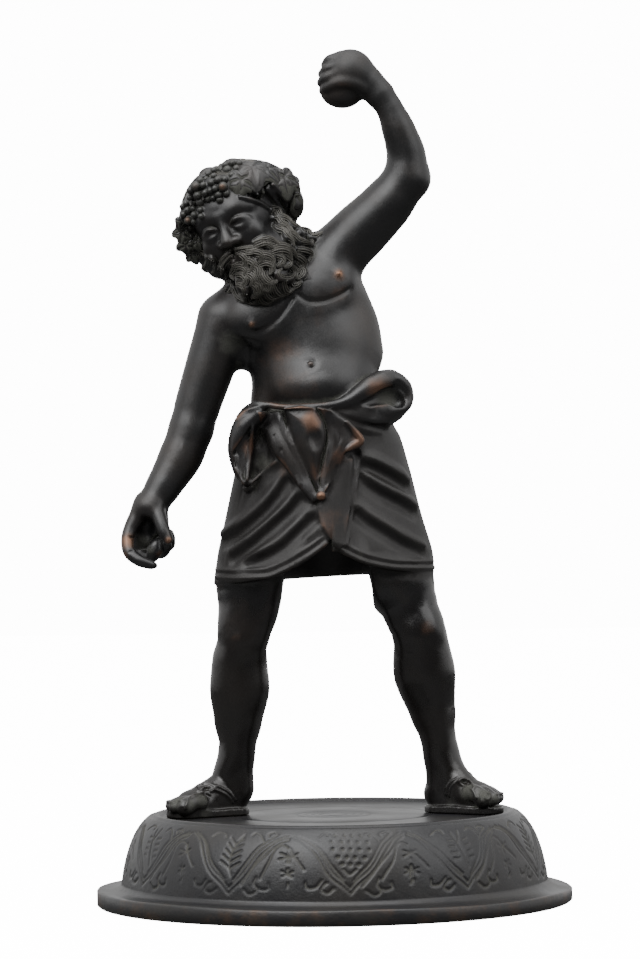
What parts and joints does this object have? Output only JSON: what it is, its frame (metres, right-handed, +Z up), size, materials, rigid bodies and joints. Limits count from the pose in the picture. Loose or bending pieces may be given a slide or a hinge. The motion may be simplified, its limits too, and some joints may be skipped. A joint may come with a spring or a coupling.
{
  "type": "silenus statue",
  "caption": "Small cast bronze statue of a wreathed, bearded Silenus in a loin cloth, raising a fist, on a wide round base with an engraved band.",
  "frame": {"origin": "centre of the base's flat underside", "axes": "+Z up through the figure, -Y the way the figure faces, +X the figure's left, the side of its raised arm"},
  "size_m": [0.278, 0.278, 0.4993],
  "materials": {
    "base_bronze": "satin dark patina over turned and filed bronze, engraved lines dusted pale",
    "figure_bronze": "brown-black patina, soft gloss, red-brown where rubbed, grey-green in hollows"
  },
  "bodies": {
    "root": {"base": "base_bronze", "figure": "figure_bronze"}
  },
  "joints": []
}
